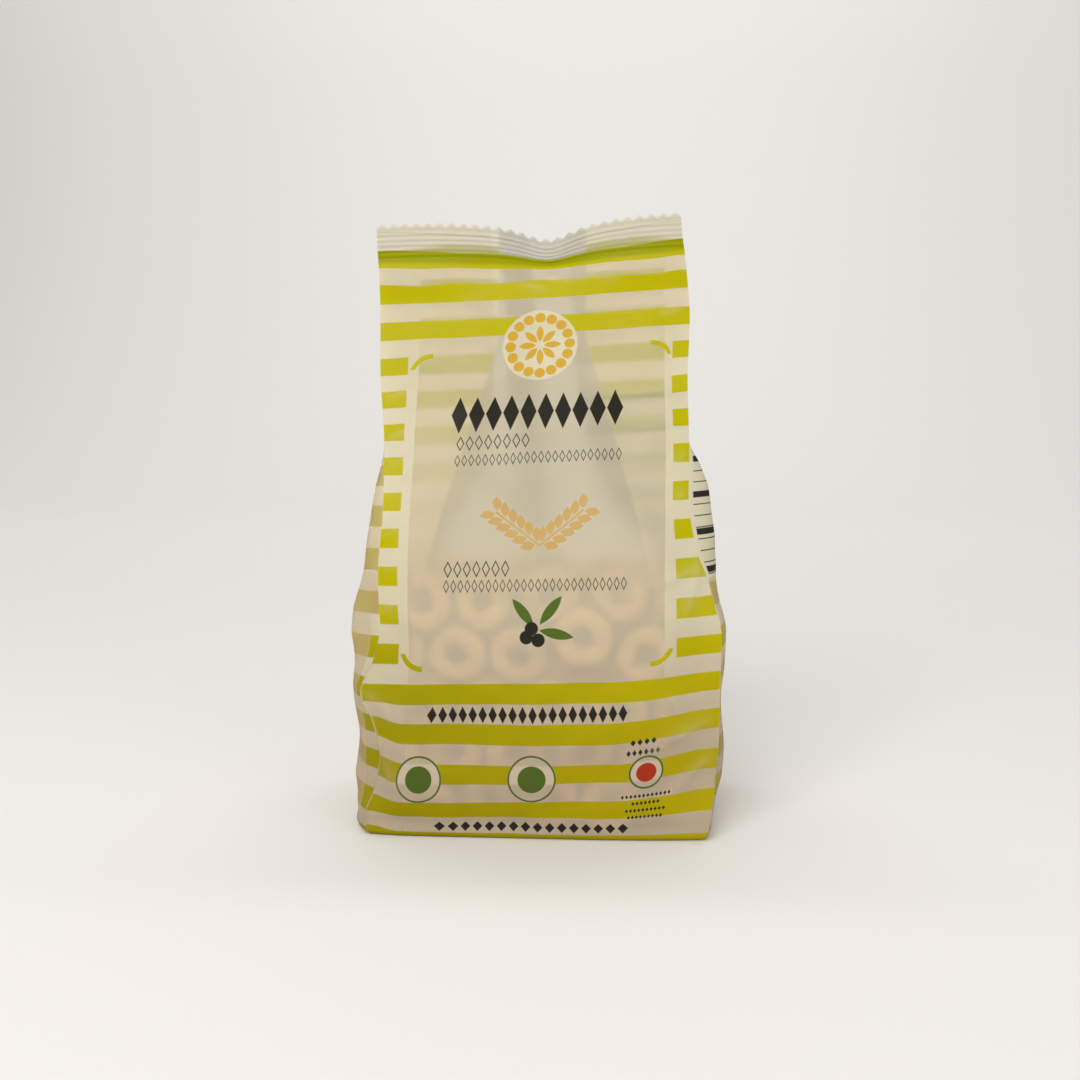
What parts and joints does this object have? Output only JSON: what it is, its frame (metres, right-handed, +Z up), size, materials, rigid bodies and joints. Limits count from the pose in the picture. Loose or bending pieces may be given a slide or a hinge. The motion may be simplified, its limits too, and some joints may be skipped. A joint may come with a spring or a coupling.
{
  "type": "gusseted film bag of tarallini",
  "caption": "Upright side-gusseted bag of frosted plastic film with a crimped zigzag top seal, filled with small ring-shaped savoury biscuits.",
  "frame": {"origin": "under the middle of the bag's box, on the surface it stands on", "axes": "+Z up towards the crimped seal, the front panel faces -Y, +X to the viewer's right of the front panel"},
  "size_m": [0.1412, 0.085, 0.2295],
  "materials": {
    "film": "satin"
  },
  "bodies": {
    "root": {"bag": "film"}
  },
  "joints": []
}
